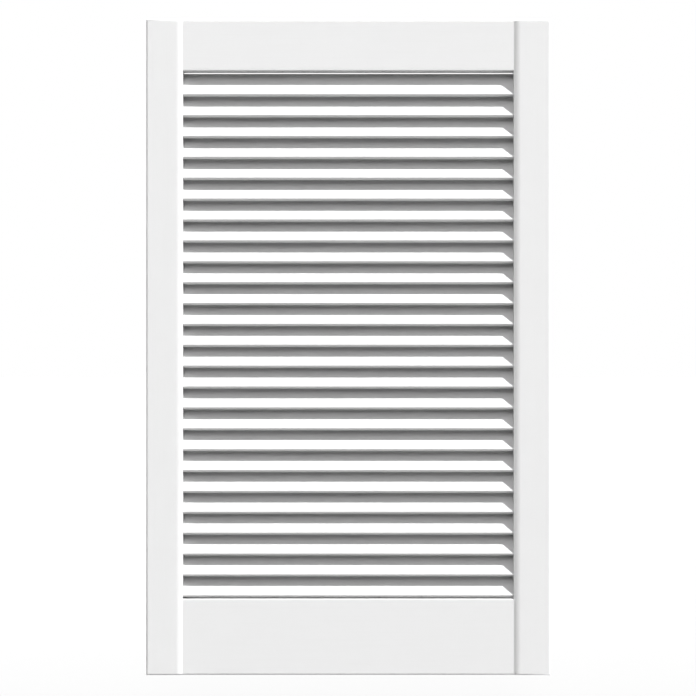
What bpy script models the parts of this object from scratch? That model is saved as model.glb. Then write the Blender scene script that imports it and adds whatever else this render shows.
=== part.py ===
"""Louvred door leaf: two moulded stiles, two rails, fixed sloping slats and the dowels of the frame.

Metres, +Z up. The origin is at the middle of the bottom edge and the front faces -Y.
"""

import math

import bmesh
import bpy
from mathutils import Euler, Vector

# Overall size of the leaf
LEAF_HEIGHT = 0.720
LEAF_WIDTH = 0.444
LEAF_THICKNESS = 0.022

# Frame members
STILE_WIDTH = 0.0403
TOP_RAIL_HEIGHT = 0.0564
BOTTOM_RAIL_HEIGHT = 0.0837
OUTER_ARRIS = 0.002
RAIL_INNER_ARRIS = 0.0015

# Moulding on the inner edge of each stile, front and back: a long round that turns into a short hollow
MOULDING_ROUND_WIDTH = 0.0064
MOULDING_HOLLOW_WIDTH = 0.0013
MOULDING_STEEPEST_SLOPE = math.radians(21.5)
MOULDING_EDGE_SLOPE = math.radians(13)

# Slats, spaced as near to the wanted pitch as equal gaps to the two rails allow
SLAT_WIDTH = 0.0284
SLAT_THICKNESS = 0.005
SLAT_EDGE_RADIUS = 0.00125
SLAT_TILT = math.radians(60)
SLAT_WANTED_PITCH = 0.023
SLAT_END_GAP = 0.0015
HOUSING_DEPTH = 0.008

# Dowels that join the rails to the stiles
DOWEL_DIAMETER = 0.008
DOWEL_LENGTH = 0.050
DOWEL_CHAMFER = 0.001
DOWEL_EDGE_DISTANCE = 0.014

# Clearances
JOINT_GAP = 0.0003
BORE_END_GAP = 0.0005

# Fineness of the rounded forms
CORNER_SEGMENTS = 3
ROUND_SEGMENTS = 4
HOLLOW_SEGMENTS = 3
DOWEL_SIDES = 20
SMOOTH_ANGLE = math.radians(35)
WELD_DISTANCE = 0.00001

# Finishes: colour and roughness
WHITE_LACQUER = ((0.86, 0.86, 0.86, 1.0), 0.42)
BEECH = ((0.56, 0.37, 0.21, 1.0), 0.65)

# Worked out from the sizes above
OPENING_WIDTH = LEAF_WIDTH - 2 * STILE_WIDTH
OPENING_BOTTOM = BOTTOM_RAIL_HEIGHT
OPENING_TOP = LEAF_HEIGHT - TOP_RAIL_HEIGHT
HOLLOW_MEAN_SLOPE = (MOULDING_STEEPEST_SLOPE + MOULDING_EDGE_SLOPE) / 2
MOULDING_DROP = (
    MOULDING_ROUND_WIDTH * math.tan(MOULDING_STEEPEST_SLOPE / 2)
    + MOULDING_HOLLOW_WIDTH * math.tan(HOLLOW_MEAN_SLOPE)
)
RAIL_THICKNESS = LEAF_THICKNESS - 2 * MOULDING_DROP
ALONG_X = Euler((math.pi / 2, 0, math.pi / 2))
SLAT_TURN = Euler((math.pi / 2, -SLAT_TILT, math.pi / 2))


def clear_scene():
    for obj in list(bpy.data.objects):
        bpy.data.objects.remove(obj, do_unlink=True)


def new_collection(name):
    collection = bpy.data.collections.new(name)
    bpy.context.scene.collection.children.link(collection)
    return collection


def new_finish(name, finish):
    colour, roughness = finish
    material = bpy.data.materials.new(name)
    material.use_nodes = True
    material.diffuse_color = colour
    shader = material.node_tree.nodes["Principled BSDF"]
    shader.inputs["Base Color"].default_value = colour
    shader.inputs["Roughness"].default_value = roughness
    shader.inputs["Metallic"].default_value = 0.0
    return material


def new_object(name, mesh, collection, material=None):
    obj = bpy.data.objects.new(name, mesh)
    collection.objects.link(obj)
    if material and not mesh.materials:
        mesh.materials.append(material)
    return obj


def mark_cutter(obj):
    obj.hide_render = True
    obj.display_type = "WIRE"


def smooth(mesh):
    mesh.shade_smooth()
    mesh.set_sharp_from_angle(angle=SMOOTH_ANGLE)


def arc(centre, radius, start, end, segments):
    """Points on an arc, both ends included."""
    steps = [start + (end - start) * i / segments for i in range(segments + 1)]
    return [(centre[0] + radius * math.cos(a), centre[1] + radius * math.sin(a)) for a in steps]


def rounded_rectangle(width, height, low_radius, high_radius):
    """Outline centred on the origin, with one corner radius at low Y and one at high Y."""
    outline = []
    corners = [(1, -1, low_radius), (1, 1, high_radius), (-1, 1, high_radius), (-1, -1, low_radius)]
    for turn, (side_x, side_y, radius) in enumerate(corners):
        centre = (side_x * (width / 2 - radius), side_y * (height / 2 - radius))
        start = (turn - 1) * math.pi / 2
        outline += arc(centre, radius, start, start + math.pi / 2, CORNER_SEGMENTS)
    return outline


def moulding_points():
    """(distance from the start of the moulding, drop below the stile's face) along the moulding."""
    round_radius = MOULDING_ROUND_WIDTH / math.sin(MOULDING_STEEPEST_SLOPE)
    hollow_rise = math.sin(MOULDING_STEEPEST_SLOPE) - math.sin(MOULDING_EDGE_SLOPE)
    hollow_radius = MOULDING_HOLLOW_WIDTH / hollow_rise
    points = []
    for i in range(ROUND_SEGMENTS):
        slope = MOULDING_STEEPEST_SLOPE * i / ROUND_SEGMENTS
        points.append((round_radius * math.sin(slope), round_radius * (1 - math.cos(slope))))
    for i in range(HOLLOW_SEGMENTS + 1):
        share = i / HOLLOW_SEGMENTS
        slope = MOULDING_STEEPEST_SLOPE + (MOULDING_EDGE_SLOPE - MOULDING_STEEPEST_SLOPE) * share
        from_edge = hollow_radius * (math.sin(slope) - math.sin(MOULDING_EDGE_SLOPE))
        above_edge = hollow_radius * (math.cos(MOULDING_EDGE_SLOPE) - math.cos(slope))
        points.append(
            (MOULDING_ROUND_WIDTH + MOULDING_HOLLOW_WIDTH - from_edge, MOULDING_DROP - above_edge)
        )
    return points


def stile_outline():
    """Section of a stile, with its moulded inner edge towards +X and its middle at X = 0."""
    outer = -STILE_WIDTH / 2
    start = STILE_WIDTH / 2 - MOULDING_ROUND_WIDTH - MOULDING_HOLLOW_WIDTH
    face = LEAF_THICKNESS / 2
    front = [(start + along, drop - face) for along, drop in moulding_points()]
    back = [(x, -y) for x, y in reversed(front)]
    return [(outer, -face), *front, *back, (outer, face)]


def prism(name, outline, length):
    """Closed mesh of a flat outline, extruded along Z to the given length about Z = 0."""
    curve = bpy.data.curves.new(name, "CURVE")
    curve.dimensions = "2D"
    curve.fill_mode = "BOTH"
    curve.extrude = length / 2
    spline = curve.splines.new("POLY")
    spline.points.add(len(outline) - 1)
    for point, (x, y) in zip(spline.points, outline):
        point.co = (x, y, 0, 1)
    spline.use_cyclic_u = True
    guide = bpy.data.objects.new(name, curve)
    bpy.context.scene.collection.objects.link(guide)
    graph = bpy.context.evaluated_depsgraph_get()
    mesh = bpy.data.meshes.new_from_object(guide.evaluated_get(graph))
    mesh.name = name
    bpy.data.objects.remove(guide, do_unlink=True)
    bpy.data.curves.remove(curve)
    shape = bmesh.new()
    shape.from_mesh(mesh)
    bmesh.ops.remove_doubles(shape, verts=shape.verts, dist=WELD_DISTANCE)
    bmesh.ops.recalc_face_normals(shape, faces=shape.faces)
    shape.to_mesh(mesh)
    shape.free()
    smooth(mesh)
    return mesh


def round_bar(name, diameter, length):
    """Closed cylinder along Z."""
    shape = bmesh.new()
    bmesh.ops.create_cone(
        shape,
        cap_ends=True,
        segments=DOWEL_SIDES,
        radius1=diameter / 2,
        radius2=diameter / 2,
        depth=length,
    )
    mesh = bpy.data.meshes.new(name)
    shape.to_mesh(mesh)
    shape.free()
    smooth(mesh)
    return mesh


def cut(obj, cutter):
    modifier = obj.modifiers.new(cutter.name, "BOOLEAN")
    modifier.operation = "DIFFERENCE"
    modifier.solver = "EXACT"
    modifier.object = cutter


def mark_arris_edges(mesh):
    """Weights the front and back edges along a stile's outer side and across its two ends."""
    shape = bmesh.new()
    shape.from_mesh(mesh)
    weight = shape.edges.layers.float.new("bevel_weight_edge")
    for edge in shape.edges:
        first, second = (vert.co for vert in edge.verts)
        same_face = first.y * second.y > 0
        on_end = abs(first.z) > LEAF_HEIGHT / 4 and first.z * second.z > 0
        on_outer_side = max(first.x, second.x) < WELD_DISTANCE - STILE_WIDTH / 2
        if same_face and (on_end or on_outer_side):
            edge[weight] = 1.0
    shape.to_mesh(mesh)
    shape.free()


def make_stiles(parts, lacquer, housings, bores):
    mesh = prism("stile", stile_outline(), LEAF_HEIGHT)
    mark_arris_edges(mesh)
    middle = (LEAF_WIDTH - STILE_WIDTH) / 2
    for name, x, turn in (("left_stile", -middle, 0), ("right_stile", middle, math.pi)):
        stile = new_object(name, mesh, parts, lacquer)
        stile.location = (x, 0, LEAF_HEIGHT / 2)
        stile.rotation_euler = (0, 0, turn)
        arris = stile.modifiers.new("arris", "BEVEL")
        arris.limit_method = "WEIGHT"
        arris.width = OUTER_ARRIS
        arris.segments = CORNER_SEGMENTS
        cut(stile, housings)
        cut(stile, bores)


def make_rails(parts, lacquer, bores):
    length = OPENING_WIDTH - 2 * JOINT_GAP
    rails = (
        ("top_rail", TOP_RAIL_HEIGHT, OPENING_TOP, RAIL_INNER_ARRIS, OUTER_ARRIS),
        ("bottom_rail", BOTTOM_RAIL_HEIGHT, 0, OUTER_ARRIS, RAIL_INNER_ARRIS),
    )
    for name, height, bottom, low_radius, high_radius in rails:
        outline = rounded_rectangle(RAIL_THICKNESS, height, low_radius, high_radius)
        rail = new_object(name, prism(name, outline, length), parts, lacquer)
        rail.location = (0, 0, bottom + height / 2)
        rail.rotation_euler = ALONG_X
        cut(rail, bores)


def slat_heights():
    """Heights of the slats' middles, from the lowest to the highest."""
    corner_cut = SLAT_EDGE_RADIUS * (math.sin(SLAT_TILT) + math.cos(SLAT_TILT) - 1)
    tall = SLAT_WIDTH * math.sin(SLAT_TILT) + SLAT_THICKNESS * math.cos(SLAT_TILT) - 2 * corner_cut
    lowest = OPENING_BOTTOM + SLAT_END_GAP + tall / 2
    highest = OPENING_TOP - SLAT_END_GAP - tall / 2
    steps = round((highest - lowest) / SLAT_WANTED_PITCH)
    return [lowest + (highest - lowest) * i / steps for i in range(steps + 1)]


def make_slats(parts, lacquer):
    outline = rounded_rectangle(SLAT_WIDTH, SLAT_THICKNESS, SLAT_EDGE_RADIUS, SLAT_EDGE_RADIUS)
    length = OPENING_WIDTH + 2 * (HOUSING_DEPTH - JOINT_GAP)
    mesh = prism("slat", outline, length)
    for number, height in enumerate(reversed(slat_heights()), start=1):
        slat = new_object(f"slat_{number:02d}", mesh, parts, lacquer)
        slat.location = (0, 0, height)
        slat.rotation_euler = SLAT_TURN


def make_housings(cutters):
    """Slanted slots for the ends of all slats, in one cutter that reaches into both stiles."""
    grown_width = SLAT_WIDTH + 2 * JOINT_GAP
    grown_thickness = SLAT_THICKNESS + 2 * JOINT_GAP
    grown_radius = SLAT_EDGE_RADIUS + JOINT_GAP
    outline = rounded_rectangle(grown_width, grown_thickness, grown_radius, grown_radius)
    heights = slat_heights()
    mesh = prism("slat_housings", outline, OPENING_WIDTH + 2 * HOUSING_DEPTH)
    housings = new_object("slat_housings", mesh, cutters)
    housings.location = (0, 0, heights[0])
    housings.rotation_euler = SLAT_TURN
    stack = housings.modifiers.new("stack", "ARRAY")
    stack.count = len(heights)
    stack.use_relative_offset = False
    stack.use_constant_offset = True
    pitch = Vector((0, 0, heights[1] - heights[0]))
    stack.constant_offset_displace = SLAT_TURN.to_matrix().inverted() @ pitch
    mark_cutter(housings)
    return housings


def dowel_places():
    """(name, middle) of each dowel: two in each joint of a rail and a stile."""
    rails = (("top", OPENING_TOP, LEAF_HEIGHT), ("bottom", 0, OPENING_BOTTOM))
    places = []
    for rail, low, high in rails:
        for side, x in (("left", -OPENING_WIDTH / 2), ("right", OPENING_WIDTH / 2)):
            places.append((f"dowel_{rail}_{side}_upper", Vector((x, 0, high - DOWEL_EDGE_DISTANCE))))
            places.append((f"dowel_{rail}_{side}_lower", Vector((x, 0, low + DOWEL_EDGE_DISTANCE))))
    return places


def make_dowels(parts, beech):
    mesh = round_bar("dowel", DOWEL_DIAMETER, DOWEL_LENGTH)
    for name, middle in dowel_places():
        dowel = new_object(name, mesh, parts, beech)
        dowel.location = middle
        dowel.rotation_euler = ALONG_X
        chamfer = dowel.modifiers.new("chamfer", "BEVEL")
        chamfer.width = DOWEL_CHAMFER
        chamfer.segments = 1


def make_bores(cutters):
    """Holes for all dowels, in one cutter that reaches into stiles and rails."""
    bore = round_bar("bore", DOWEL_DIAMETER + 2 * JOINT_GAP, DOWEL_LENGTH + 2 * BORE_END_GAP)
    shape = bmesh.new()
    for _, middle in dowel_places():
        before = len(shape.verts)
        shape.from_mesh(bore)
        shape.verts.ensure_lookup_table()
        bmesh.ops.rotate(shape, verts=shape.verts[before:], matrix=ALONG_X.to_matrix())
        bmesh.ops.translate(shape, verts=shape.verts[before:], vec=middle)
    mesh = bpy.data.meshes.new("dowel_bores")
    shape.to_mesh(mesh)
    shape.free()
    bores = new_object("dowel_bores", mesh, cutters)
    mark_cutter(bores)
    return bores


def main():
    clear_scene()
    parts = new_collection("louvred_door")
    cutters = new_collection("cutters")
    lacquer = new_finish("white_lacquer", WHITE_LACQUER)
    beech = new_finish("beech", BEECH)
    housings = make_housings(cutters)
    bores = make_bores(cutters)
    make_stiles(parts, lacquer, housings, bores)
    make_rails(parts, lacquer, bores)
    make_slats(parts, lacquer)
    make_dowels(parts, beech)


main()
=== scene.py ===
"""Looks of the louvred door leaf: lacquered frame and slats, fluted dowels, studio light and camera.

Metres, +Z up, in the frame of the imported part. The front of the leaf faces -Y.
"""

import math

import bmesh
import bpy
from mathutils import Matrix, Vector


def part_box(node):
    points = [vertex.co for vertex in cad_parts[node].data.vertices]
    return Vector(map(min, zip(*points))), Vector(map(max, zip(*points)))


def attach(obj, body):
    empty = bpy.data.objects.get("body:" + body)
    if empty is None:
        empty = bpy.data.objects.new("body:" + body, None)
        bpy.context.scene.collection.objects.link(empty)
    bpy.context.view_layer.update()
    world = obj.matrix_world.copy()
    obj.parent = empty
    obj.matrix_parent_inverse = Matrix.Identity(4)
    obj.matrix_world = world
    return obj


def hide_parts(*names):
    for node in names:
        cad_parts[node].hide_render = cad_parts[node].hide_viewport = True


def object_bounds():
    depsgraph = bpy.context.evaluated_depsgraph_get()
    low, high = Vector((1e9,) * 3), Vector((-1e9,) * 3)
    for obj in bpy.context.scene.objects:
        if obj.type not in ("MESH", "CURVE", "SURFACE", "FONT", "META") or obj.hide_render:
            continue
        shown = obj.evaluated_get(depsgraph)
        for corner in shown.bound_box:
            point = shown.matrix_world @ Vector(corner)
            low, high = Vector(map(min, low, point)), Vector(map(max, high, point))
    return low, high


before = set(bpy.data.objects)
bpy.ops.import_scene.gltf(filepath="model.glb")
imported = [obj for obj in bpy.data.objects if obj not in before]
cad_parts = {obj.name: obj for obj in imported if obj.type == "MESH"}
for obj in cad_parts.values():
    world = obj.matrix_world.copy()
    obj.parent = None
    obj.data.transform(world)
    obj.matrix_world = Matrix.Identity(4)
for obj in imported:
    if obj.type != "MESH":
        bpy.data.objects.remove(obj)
cad_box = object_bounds()

# Sizes of the leaf that the nodes' boxes don't give
OUTER_ARRIS = 0.002
RAIL_INNER_ARRIS = 0.0015
MOULDING_ROUND_WIDTH = 0.0064
MOULDING_HOLLOW_WIDTH = 0.0013
MOULDING_STEEPEST_SLOPE = math.radians(21.5)
MOULDING_EDGE_SLOPE = math.radians(13)
SLAT_WIDTH = 0.0284
SLAT_THICKNESS = 0.005
SLAT_EDGE_RADIUS = 0.00125
SLAT_TILT = math.radians(60)
DOWEL_CHAMFER = 0.001
FLUTE_DEPTH = 0.0002

# Joints, filled with paint and glue
PAINT_LINE = 0.00008
GLUE_LINE = 0.0001

# Fineness of the modelling
ARRIS_SEGMENTS = 6
ROUND_CUTS = 12
HOLLOW_CUTS = 6
FLUTES = 20
SIDES_PER_FLUTE = 3
BORE_SIDES = 40
SMOOTH_ANGLE = math.radians(35)
HAIR = 0.00002

# White lacquer, with the sprayed skin and the wood that show in it
LACQUER_TINT = (0.862, 0.862, 0.862, 1)
LACQUER_STREAK_TINT = (0.852, 0.852, 0.850, 1)
LACQUER_SPECULAR = 0.2
LACQUER_SMOOTHEST = 0.56
LACQUER_ROUGHEST = 0.64
LACQUER_PATCHES = 18.0
LACQUER_BUMP = 0.25
LACQUER_BUMP_HEIGHT = 0.00001
UPRIGHT_GRAIN = (900.0, 900.0, 14.0)
CROSSWISE_GRAIN = (14.0, 900.0, 900.0)
PEEL_FINENESS = 420.0
PEEL_DETAIL = 1.0
PEEL_ROUGHNESS = 0.4
SWELL_DETAIL = 0.0
SWELL_TO_RIPPLE = 0.2

# Bare beech of the dowels
BEECH_TINT = (0.60, 0.41, 0.24, 1)
BEECH_STREAK_TINT = (0.43, 0.26, 0.13, 1)
BEECH_SMOOTHEST = 0.58
BEECH_ROUGHEST = 0.72
BEECH_PATCHES = 300.0
BEECH_BUMP = 0.4
BEECH_BUMP_HEIGHT = 0.00005
DOWEL_GRAIN = (60.0, 1500.0, 1500.0)

# Fibres and patches, the same in both finishes
FIBRE_SCALE = 1.0
FIBRE_DETAIL = 4.0
FIBRE_ROUGHNESS = 0.6
STREAKS_START = 0.45
STREAKS_FULL = 0.75
PATCH_DETAIL = 3.0
PATCH_ROUGHNESS = 0.55
PATCHES_LOWEST = 0.3
PATCHES_HIGHEST = 0.7

# The photograph: its size and the leaf's edges in it, in pixels
PHOTO_SIDE = 696
LEAF_LEFT = 146.4
LEAF_RIGHT = 550.3
LEAF_TOP = 19.7
LEAF_BOTTOM = 675.0

# Camera
CAMERA_DISTANCE = 2.4
SENSOR_WIDTH = 0.036
MILLIMETRES = 1000

# Lamps: a hard key from the upper right, a tall softbox in front and a soft light behind
KEY_FROM = Vector((0.604, -0.296, 0.740))
KEY_STRENGTH = 5.4
KEY_ANGLE = math.radians(1.2)
KEY_BOUNCES = 1
FRONT_BOX_PLACE = Vector((0.0, -5.5, 5.9))
FRONT_BOX_WIDTH = 1.0
FRONT_BOX_HEIGHT = 6.0
FRONT_BOX_POWER = 195
BACK_FROM = Vector((-0.63, 0.776, 0.03))
BACK_STRENGTH = 3.5
BACK_ANGLE = math.radians(30)
FILL_BOUNCES = 0

# Surroundings, and the floor as it lights the leaf and as it is seen
WHITE = (1, 1, 1, 1)
BLACK = (0, 0, 0, 1)
FULL_STRENGTH = 1.0
AMBIENT = 0.02
PLINTH_HEIGHT = 0.09
FLOOR_SIDE = 60.0
FLOOR_BOUNCE = (0.42, 0.42, 0.42, 1)
FLOOR_SEEN = (0.16, 0.16, 0.16, 1)
FLOOR_GLOW = (0.44, 0.44, 0.44, 1)
FLOOR_GLOSS = 0.5
FLOOR_ROUGHNESS = 0.2

SLAT_NODES = sorted(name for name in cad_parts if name.startswith("slat_"))
DOWEL_NODES = sorted(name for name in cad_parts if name.startswith("dowel_"))
LEAF_LOW, LEAF_HIGH = cad_box


def select_alone(obj):
    bpy.ops.object.select_all(action="DESELECT")
    bpy.context.view_layer.objects.active = obj
    obj.select_set(True)


def apply_place():
    """Puts the place, turn and size of the selected piece into its mesh."""
    bpy.ops.object.transform_apply(location=True, rotation=True, scale=True)


def name_piece(piece, name):
    piece.name = name
    piece.data.name = name


def add_block(name, low, high):
    """A block between two corners, selected alone."""
    bpy.ops.object.select_all(action="DESELECT")
    bpy.ops.mesh.primitive_cube_add(size=1, location=(low + high) / 2, scale=high - low)
    apply_place()
    block = bpy.context.active_object
    name_piece(block, name)
    return block


def add_bar(name, radius, length, sides):
    """A round bar along X about the origin, selected alone."""
    bpy.ops.object.select_all(action="DESELECT")
    bpy.ops.mesh.primitive_cylinder_add(
        vertices=sides, radius=radius, depth=length, rotation=(0, math.pi / 2, 0)
    )
    apply_place()
    bar = bpy.context.active_object
    name_piece(bar, name)
    return bar


def start_editing(obj):
    select_alone(obj)
    bpy.ops.object.mode_set(mode="EDIT")


def stop_editing():
    bpy.ops.object.mode_set(mode="OBJECT")


def pick_edges(obj, wanted):
    """In edit mode, selects the edges whose two ends pass the test."""
    bpy.ops.mesh.select_mode(type="EDGE")
    bpy.ops.mesh.select_all(action="DESELECT")
    shape = bmesh.from_edit_mesh(obj.data)
    for edge in shape.edges:
        edge.select_set(wanted(edge.verts[0].co, edge.verts[1].co))
    bmesh.update_edit_mesh(obj.data)


def pick_points(obj, wanted):
    """In edit mode, selects the points that pass the test."""
    bpy.ops.mesh.select_mode(type="VERT")
    bpy.ops.mesh.select_all(action="DESELECT")
    shape = bmesh.from_edit_mesh(obj.data)
    for vert in shape.verts:
        vert.select_set(wanted(vert.co))
    bmesh.update_edit_mesh(obj.data)


def pick_faces(obj, wanted):
    """In edit mode, selects the faces whose normal passes the test."""
    bpy.ops.mesh.select_mode(type="FACE")
    bpy.ops.mesh.select_all(action="DESELECT")
    shape = bmesh.from_edit_mesh(obj.data)
    for face in shape.faces:
        face.select_set(wanted(face.normal))
    bmesh.update_edit_mesh(obj.data)


def cut_away(obj, cutter):
    """Cuts one piece by another with an applied Boolean."""
    select_alone(obj)
    modifier = obj.modifiers.new("cut", "BOOLEAN")
    modifier.operation = "DIFFERENCE"
    modifier.solver = "EXACT"
    modifier.object = cutter
    bpy.ops.object.modifier_apply(modifier=modifier.name)


def smooth(obj):
    """Smooth rounds beside flats that stay flat."""
    select_alone(obj)
    bpy.ops.object.shade_smooth_by_angle(angle=SMOOTH_ANGLE)
    modifier = obj.modifiers.new("flats", "WEIGHTED_NORMAL")
    modifier.keep_sharp = True
    bpy.ops.object.modifier_apply(modifier=modifier.name)


def place_copy(original, name, middle):
    """A copy with its own mesh, moved so that the original's origin lies at the given point."""
    copy = original.copy()
    copy.data = original.data.copy()
    name_piece(copy, name)
    bpy.context.scene.collection.objects.link(copy)
    select_alone(copy)
    copy.location = middle
    apply_place()
    return copy


def join(objects, name):
    bpy.ops.object.select_all(action="DESELECT")
    for obj in objects:
        obj.select_set(True)
    bpy.context.view_layer.objects.active = objects[0]
    bpy.ops.object.join()
    objects[0].name = name
    return objects[0]


def remove(obj):
    bpy.data.objects.remove(obj, do_unlink=True)


def middle_of(node):
    low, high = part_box(node)
    return (low + high) / 2


def dress(piece, node, material):
    """Gives a finished piece its finish and lets it stand for its node."""
    piece.data.materials.clear()
    piece.data.materials.append(material)
    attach(piece, "root")
    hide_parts(node)


def moulding_stations():
    """(distance from the start of the moulding, drop below the stile's face) along the moulding."""
    steepest = MOULDING_STEEPEST_SLOPE
    round_radius = MOULDING_ROUND_WIDTH / math.sin(steepest)
    hollow_radius = MOULDING_HOLLOW_WIDTH / (math.sin(steepest) - math.sin(MOULDING_EDGE_SLOPE))
    stations = []
    for i in range(ROUND_CUTS + 1):
        slope = steepest * i / ROUND_CUTS
        stations.append((round_radius * math.sin(slope), round_radius * (1 - math.cos(slope))))
    round_drop = stations[-1][1]
    for i in range(1, HOLLOW_CUTS + 1):
        slope = steepest + (MOULDING_EDGE_SLOPE - steepest) * i / HOLLOW_CUTS
        along = MOULDING_ROUND_WIDTH + hollow_radius * (math.sin(steepest) - math.sin(slope))
        drop = round_drop + hollow_radius * (math.cos(slope) - math.cos(steepest))
        stations.append((along, drop))
    return stations


def run_moulding(stile, start, inward):
    """Cuts both faces of a stile into strips from the start of the moulding, then sinks the strips."""
    stations = [(start + inward * along, drop) for along, drop in moulding_stations()]
    for x, _ in stations:
        bpy.ops.mesh.select_all(action="SELECT")
        bpy.ops.mesh.bisect(plane_co=(x, 0, 0), plane_no=(1, 0, 0))
    for x, drop in stations:
        for side in (-1, 1):
            pick_points(stile, lambda co: abs(co.x - x) < HAIR and co.y * side > 0)
            bpy.ops.transform.translate(value=(0, -side * drop, 0))


def make_stile(node, inward, slots, bores):
    """An upright with rounded outer arrises, a moulded inner edge, slat slots and dowel holes."""
    low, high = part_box(node)
    outer, inner = (low.x, high.x) if inward > 0 else (high.x, low.x)
    stile = add_block(f"{node}_lacquered", low, high)
    start_editing(stile)
    pick_edges(
        stile,
        lambda a, b: a.y * b.y > 0 and (abs(a.z - b.z) < HAIR or abs(a.x + b.x - 2 * outer) < HAIR),
    )
    bpy.ops.mesh.bevel(offset=OUTER_ARRIS, segments=ARRIS_SEGMENTS, affect="EDGES")
    run_moulding(stile, inner - inward * (MOULDING_ROUND_WIDTH + MOULDING_HOLLOW_WIDTH), inward)
    stop_editing()
    cut_away(stile, slots)
    cut_away(stile, bores)
    smooth(stile)
    return stile


def make_rail(node, arris_below, arris_above, bores):
    """A cross piece that closes up to both stiles, with rounded edges and dowel holes."""
    low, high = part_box(node)
    low.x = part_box("left_stile")[1].x
    high.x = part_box("right_stile")[0].x
    rail = add_block(f"{node}_lacquered", low, high)
    start_editing(rail)
    for height, arris in ((low.z, arris_below), (high.z, arris_above)):
        pick_edges(
            rail,
            lambda a, b: a.y * b.y > 0 and abs(a.z - height) < HAIR and abs(b.z - height) < HAIR,
        )
        bpy.ops.mesh.bevel(offset=arris, segments=ARRIS_SEGMENTS, affect="EDGES")
    stop_editing()
    cut_away(rail, bores)
    smooth(rail)
    return rail


def make_slat_bar(name, grown, length):
    """A tilted bar of the slats' section about the origin, grown on all four sides."""
    half = Vector((length / 2, SLAT_WIDTH / 2 + grown, SLAT_THICKNESS / 2 + grown))
    bar = add_block(name, -half, half)
    start_editing(bar)
    pick_edges(bar, lambda a, b: abs(a.x - b.x) > HAIR)
    bpy.ops.mesh.bevel(offset=SLAT_EDGE_RADIUS + grown, segments=ARRIS_SEGMENTS, affect="EDGES")
    stop_editing()
    bar.rotation_euler.x = SLAT_TILT
    apply_place()
    return bar


def make_slots():
    """One cutter for the slots of all slats in both stiles."""
    low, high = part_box(SLAT_NODES[0])
    bar = make_slat_bar("slot", PAINT_LINE, high.x - low.x + 2 * GLUE_LINE)
    slots = [place_copy(bar, f"slot_of_{node}", middle_of(node)) for node in SLAT_NODES]
    remove(bar)
    return join(slots, "slots")


def make_bores():
    """One cutter for the holes of all dowels."""
    low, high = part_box(DOWEL_NODES[0])
    radius = (high.z - low.z) / 2 + GLUE_LINE
    bar = add_bar("bore", radius, high.x - low.x + 2 * GLUE_LINE, BORE_SIDES)
    bores = [place_copy(bar, f"bore_of_{node}", middle_of(node)) for node in DOWEL_NODES]
    remove(bar)
    return join(bores, "bores")


def make_fluted_dowel():
    """A dowel about the origin with glue flutes along it and chamfered ends."""
    low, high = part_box(DOWEL_NODES[0])
    radius = (high.z - low.z) / 2
    sides = FLUTES * SIDES_PER_FLUTE
    dowel = add_bar("fluted_dowel", radius, high.x - low.x - 2 * DOWEL_CHAMFER, sides)
    start_editing(dowel)
    turn = 2 * math.pi / sides
    pick_points(dowel, lambda co: round(math.atan2(co.z, co.y) / turn) % SIDES_PER_FLUTE == 0)
    sunk = 1 - FLUTE_DEPTH / radius
    bpy.ops.transform.resize(value=(1, sunk, sunk), center_override=(0, 0, 0))
    narrowed = 1 - DOWEL_CHAMFER / radius
    for side in (-1, 1):
        pick_faces(dowel, lambda normal: normal.x * side > 1 - HAIR)
        bpy.ops.mesh.extrude_region_move(
            TRANSFORM_OT_translate={"value": (side * DOWEL_CHAMFER, 0, 0)}
        )
        bpy.ops.transform.resize(value=(1, narrowed, narrowed), center_override=(0, 0, 0))
    stop_editing()
    smooth(dowel)
    return dowel


def new_group(name, sockets):
    """A shader node group with the given (name, in or out, kind) sockets, and its two end nodes."""
    group = bpy.data.node_groups.new(name, "ShaderNodeTree")
    for socket, way, kind in sockets:
        group.interface.new_socket(socket, in_out=way, socket_type=kind)
    start = group.nodes.new("NodeGroupInput")
    end = group.nodes.new("NodeGroupOutput")
    return group, start, end


def add_node(tree, kind, **values):
    """A node with its own settings, given as properties or as values of its input sockets."""
    node = tree.nodes.new(kind)
    for name, value in values.items():
        if hasattr(node, name):
            setattr(node, name, value)
        else:
            node.inputs[name.replace("_", " ").title()].default_value = value
    return node


def place_group(tree, group, **values):
    return add_node(tree, "ShaderNodeGroup", node_tree=group, **values)


def multiply(tree, value, by):
    """The value times a fixed number."""
    product = add_node(tree, "ShaderNodeMath", operation="MULTIPLY")
    product.inputs[1].default_value = by
    tree.links.new(value, product.inputs[0])
    return product.outputs[0]


def mix_colours(tree, factor, first, second):
    """The first colour where the factor is 0, the second where it is 1."""
    mix = add_node(tree, "ShaderNodeMix", data_type="RGBA")
    mix.inputs["A"].default_value = first
    mix.inputs["B"].default_value = second
    tree.links.new(factor, mix.inputs["Factor"])
    return mix.outputs["Result"]


def make_orange_peel():
    """Fine skin that sprayed lacquer dries to: two sizes of soft ripple as one height."""
    group, start, end = new_group(
        "orange_peel",
        (
            ("Vector", "INPUT", "NodeSocketVector"),
            ("Fineness", "INPUT", "NodeSocketFloat"),
            ("Height", "OUTPUT", "NodeSocketFloat"),
        ),
    )
    ripple = add_node(group, "ShaderNodeTexNoise", detail=PEEL_DETAIL, roughness=PEEL_ROUGHNESS)
    swell = add_node(group, "ShaderNodeTexNoise", detail=SWELL_DETAIL)
    both = add_node(group, "ShaderNodeMath", operation="ADD")
    coarser = multiply(group, start.outputs["Fineness"], SWELL_TO_RIPPLE)
    link = group.links.new
    link(start.outputs["Vector"], ripple.inputs["Vector"])
    link(start.outputs["Vector"], swell.inputs["Vector"])
    link(start.outputs["Fineness"], ripple.inputs["Scale"])
    link(coarser, swell.inputs["Scale"])
    link(ripple.outputs["Fac"], both.inputs[0])
    link(swell.outputs["Fac"], both.inputs[1])
    link(both.outputs[0], end.inputs["Height"])
    return group


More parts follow.
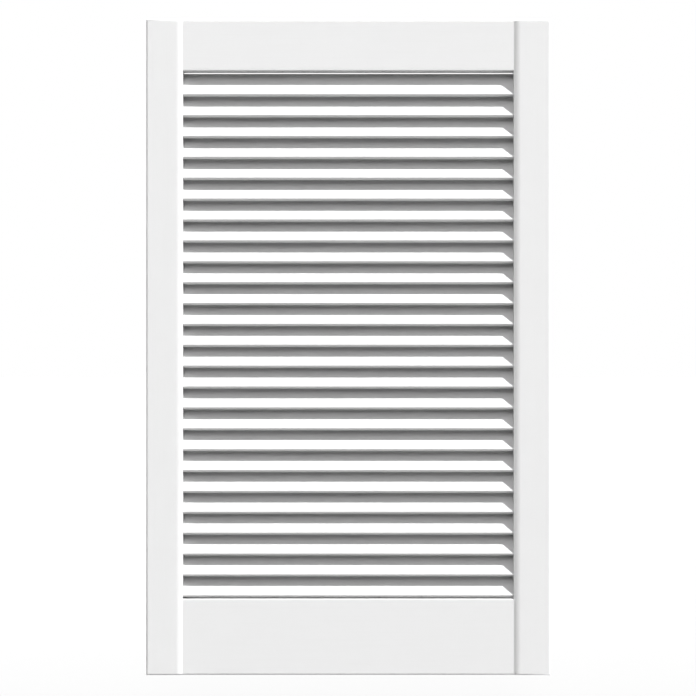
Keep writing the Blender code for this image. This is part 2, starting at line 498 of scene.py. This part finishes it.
def make_wood_grain():
    """Long wood fibres along the stretched axis: a height and a mask of the darker streaks."""
    group, start, end = new_group(
        "wood_grain",
        (
            ("Vector", "INPUT", "NodeSocketVector"),
            ("Stretch", "INPUT", "NodeSocketVector"),
            ("Height", "OUTPUT", "NodeSocketFloat"),
            ("Streaks", "OUTPUT", "NodeSocketFloat"),
        ),
    )
    stretched = add_node(group, "ShaderNodeVectorMath", operation="MULTIPLY")
    fibres = add_node(
        group, "ShaderNodeTexNoise", scale=FIBRE_SCALE, detail=FIBRE_DETAIL, roughness=FIBRE_ROUGHNESS
    )
    streaks = add_node(
        group,
        "ShaderNodeMapRange",
        interpolation_type="SMOOTHSTEP",
        from_min=STREAKS_START,
        from_max=STREAKS_FULL,
    )
    link = group.links.new
    link(start.outputs["Vector"], stretched.inputs[0])
    link(start.outputs["Stretch"], stretched.inputs[1])
    link(stretched.outputs[0], fibres.inputs["Vector"])
    link(fibres.outputs["Fac"], streaks.inputs["Value"])
    link(fibres.outputs["Fac"], end.inputs["Height"])
    link(streaks.outputs["Result"], end.inputs["Streaks"])
    return group


def make_cloudiness():
    """Slow uneven patches, as a value between two limits."""
    group, start, end = new_group(
        "cloudiness",
        (
            ("Vector", "INPUT", "NodeSocketVector"),
            ("Fineness", "INPUT", "NodeSocketFloat"),
            ("Low", "INPUT", "NodeSocketFloat"),
            ("High", "INPUT", "NodeSocketFloat"),
            ("Value", "OUTPUT", "NodeSocketFloat"),
        ),
    )
    clouds = add_node(group, "ShaderNodeTexNoise", detail=PATCH_DETAIL, roughness=PATCH_ROUGHNESS)
    spread = add_node(group, "ShaderNodeMapRange", from_min=PATCHES_LOWEST, from_max=PATCHES_HIGHEST)
    link = group.links.new
    link(start.outputs["Vector"], clouds.inputs["Vector"])
    link(start.outputs["Fineness"], clouds.inputs["Scale"])
    link(clouds.outputs["Fac"], spread.inputs["Value"])
    link(start.outputs["Low"], spread.inputs["To Min"])
    link(start.outputs["High"], spread.inputs["To Max"])
    link(spread.outputs["Result"], end.inputs["Value"])
    return group


def new_material(name):
    material = bpy.data.materials.new(name)
    material.use_nodes = True
    tree = material.node_tree
    return material, tree, tree.nodes["Principled BSDF"]


def make_lacquer(name, grain_stretch, orange_peel, wood_grain, cloudiness):
    """Satin white lacquer on wood, with the grain just showing through along one axis."""
    material, tree, shader = new_material(name)
    link = tree.links.new
    place = add_node(tree, "ShaderNodeTexCoord")
    peel = place_group(tree, orange_peel, fineness=PEEL_FINENESS)
    grain = place_group(tree, wood_grain, stretch=grain_stretch)
    sheen = place_group(
        tree, cloudiness, fineness=LACQUER_PATCHES, low=LACQUER_SMOOTHEST, high=LACQUER_ROUGHEST
    )
    for group in (peel, grain, sheen):
        link(place.outputs["Object"], group.inputs["Vector"])
    tint = mix_colours(tree, grain.outputs["Streaks"], LACQUER_TINT, LACQUER_STREAK_TINT)
    bump = {"strength": LACQUER_BUMP, "distance": LACQUER_BUMP_HEIGHT}
    grain_bump = add_node(tree, "ShaderNodeBump", **bump)
    peel_bump = add_node(tree, "ShaderNodeBump", **bump)
    link(grain.outputs["Height"], grain_bump.inputs["Height"])
    link(peel.outputs["Height"], peel_bump.inputs["Height"])
    link(grain_bump.outputs["Normal"], peel_bump.inputs["Normal"])
    shader.inputs["Specular IOR Level"].default_value = LACQUER_SPECULAR
    link(tint, shader.inputs["Base Color"])
    link(sheen.outputs["Value"], shader.inputs["Roughness"])
    link(peel_bump.outputs["Normal"], shader.inputs["Normal"])
    return material


def make_beech(wood_grain, cloudiness):
    """Bare turned beech with its grain along the dowels."""
    material, tree, shader = new_material("beech")
    link = tree.links.new
    place = add_node(tree, "ShaderNodeTexCoord")
    grain = place_group(tree, wood_grain, stretch=DOWEL_GRAIN)
    dryness = place_group(
        tree, cloudiness, fineness=BEECH_PATCHES, low=BEECH_SMOOTHEST, high=BEECH_ROUGHEST
    )
    for group in (grain, dryness):
        link(place.outputs["Object"], group.inputs["Vector"])
    tint = mix_colours(tree, grain.outputs["Streaks"], BEECH_TINT, BEECH_STREAK_TINT)
    bump = add_node(tree, "ShaderNodeBump", strength=BEECH_BUMP, distance=BEECH_BUMP_HEIGHT)
    link(grain.outputs["Height"], bump.inputs["Height"])
    link(tint, shader.inputs["Base Color"])
    link(dryness.outputs["Value"], shader.inputs["Roughness"])
    link(bump.outputs["Normal"], shader.inputs["Normal"])
    return material


def background_rays(tree):
    """1 for rays that show the background: straight from the camera, mirrored or through glass."""
    path = add_node(tree, "ShaderNodeLightPath")
    rays = path.outputs["Is Camera Ray"]
    for kind in ("Is Glossy Ray", "Is Transmission Ray"):
        either = add_node(tree, "ShaderNodeMath", operation="MAXIMUM")
        tree.links.new(rays, either.inputs[0])
        tree.links.new(path.outputs[kind], either.inputs[1])
        rays = either.outputs[0]
    return rays


def make_floor():
    """Satin floor at plinth height below the leaf: pale grey, white where it mirrors the studio."""
    bpy.ops.object.select_all(action="DESELECT")
    bpy.ops.mesh.primitive_plane_add(size=FLOOR_SIDE, location=(0, 0, LEAF_LOW.z - PLINTH_HEIGHT))
    floor = bpy.context.active_object
    floor.name = "floor"
    material, tree, shader = new_material("floor")
    link = tree.links.new
    seen = background_rays(tree)
    link(mix_colours(tree, seen, FLOOR_BOUNCE, FLOOR_SEEN), shader.inputs["Base Color"])
    link(mix_colours(tree, seen, BLACK, FLOOR_GLOW), shader.inputs["Emission Color"])
    link(multiply(tree, seen, FLOOR_GLOSS), shader.inputs["Specular IOR Level"])
    shader.inputs["Emission Strength"].default_value = FULL_STRENGTH
    shader.inputs["Roughness"].default_value = FLOOR_ROUGHNESS
    floor.data.materials.append(material)


def make_world():
    """White to the camera and in reflections, dim grey as a light."""
    world = bpy.data.worlds.new("studio")
    world.use_nodes = True
    bpy.context.scene.world = world
    tree = world.node_tree
    background = tree.nodes["Background"]
    background.inputs["Color"].default_value = WHITE
    strength = add_node(tree, "ShaderNodeMapRange", to_min=AMBIENT, to_max=FULL_STRENGTH)
    tree.links.new(background_rays(tree), strength.inputs["Value"])
    tree.links.new(strength.outputs["Result"], background.inputs["Strength"])


def add_lamp(name, kind, place, towards, energy, bounces):
    """A lamp that shines from its place along the given direction, for a number of bounces."""
    light = bpy.data.lights.new(name, kind)
    light.energy = energy
    light.cycles.max_bounces = bounces
    lamp = bpy.data.objects.new(name, light)
    bpy.context.scene.collection.objects.link(lamp)
    lamp.location = place
    lamp.rotation_euler = (-towards).to_track_quat("Z", "Y").to_euler()
    lamp.visible_glossy = False
    return light


def make_lamps():
    aim = (LEAF_LOW + LEAF_HIGH) / 2
    key = add_lamp("key", "SUN", aim + KEY_FROM, -KEY_FROM, KEY_STRENGTH, KEY_BOUNCES)
    key.angle = KEY_ANGLE
    back = add_lamp("back_light", "SUN", aim + BACK_FROM, -BACK_FROM, BACK_STRENGTH, FILL_BOUNCES)
    back.angle = BACK_ANGLE
    front = add_lamp(
        "front_softbox", "AREA", FRONT_BOX_PLACE, aim - FRONT_BOX_PLACE, FRONT_BOX_POWER, FILL_BOUNCES
    )
    front.shape = "RECTANGLE"
    front.size = FRONT_BOX_WIDTH
    front.size_y = FRONT_BOX_HEIGHT


def make_camera():
    """Level camera in front of the leaf, framed by the leaf's edges in the photograph."""
    arris_y = LEAF_LOW.y + OUTER_ARRIS
    pixel = (LEAF_HIGH.z - LEAF_LOW.z) / (LEAF_BOTTOM - LEAF_TOP)
    half = PHOTO_SIDE / 2
    x = (half - (LEAF_LEFT + LEAF_RIGHT) / 2) * pixel
    z = LEAF_HIGH.z - (half - LEAF_TOP) * pixel
    data = bpy.data.cameras.new("camera")
    data.sensor_width = SENSOR_WIDTH * MILLIMETRES
    data.lens = data.sensor_width * CAMERA_DISTANCE / (PHOTO_SIDE * pixel)
    camera = bpy.data.objects.new("camera", data)
    bpy.context.scene.collection.objects.link(camera)
    camera.location = (x, arris_y - CAMERA_DISTANCE, z)
    camera.rotation_euler = (math.pi / 2, 0, 0)
    bpy.context.scene.camera = camera


def make_leaf():
    """All pieces of the leaf, each in place of its node."""
    orange_peel = make_orange_peel()
    wood_grain = make_wood_grain()
    cloudiness = make_cloudiness()
    effects = (orange_peel, wood_grain, cloudiness)
    upright_lacquer = make_lacquer("lacquer_upright", UPRIGHT_GRAIN, *effects)
    cross_lacquer = make_lacquer("lacquer_crosswise", CROSSWISE_GRAIN, *effects)
    beech = make_beech(wood_grain, cloudiness)

    slots = make_slots()
    bores = make_bores()
    for node, inward in (("left_stile", 1), ("right_stile", -1)):
        dress(make_stile(node, inward, slots, bores), node, upright_lacquer)
    rails = (
        ("top_rail", RAIL_INNER_ARRIS, OUTER_ARRIS),
        ("bottom_rail", OUTER_ARRIS, RAIL_INNER_ARRIS),
    )
    for node, below, above in rails:
        dress(make_rail(node, below, above, bores), node, cross_lacquer)
    remove(slots)
    remove(bores)

    low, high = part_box(SLAT_NODES[0])
    slat = make_slat_bar("slat", 0, high.x - low.x)
    smooth(slat)
    for node in SLAT_NODES:
        copy = place_copy(slat, f"{node}_lacquered", middle_of(node))
        dress(copy, node, cross_lacquer)
    remove(slat)

    dowel = make_fluted_dowel()
    for node in DOWEL_NODES:
        copy = place_copy(dowel, f"{node}_fluted", middle_of(node))
        dress(copy, node, beech)
    remove(dowel)


make_leaf()
make_floor()
make_world()
make_lamps()
make_camera()
bpy.context.scene.view_settings.view_transform = "Standard"
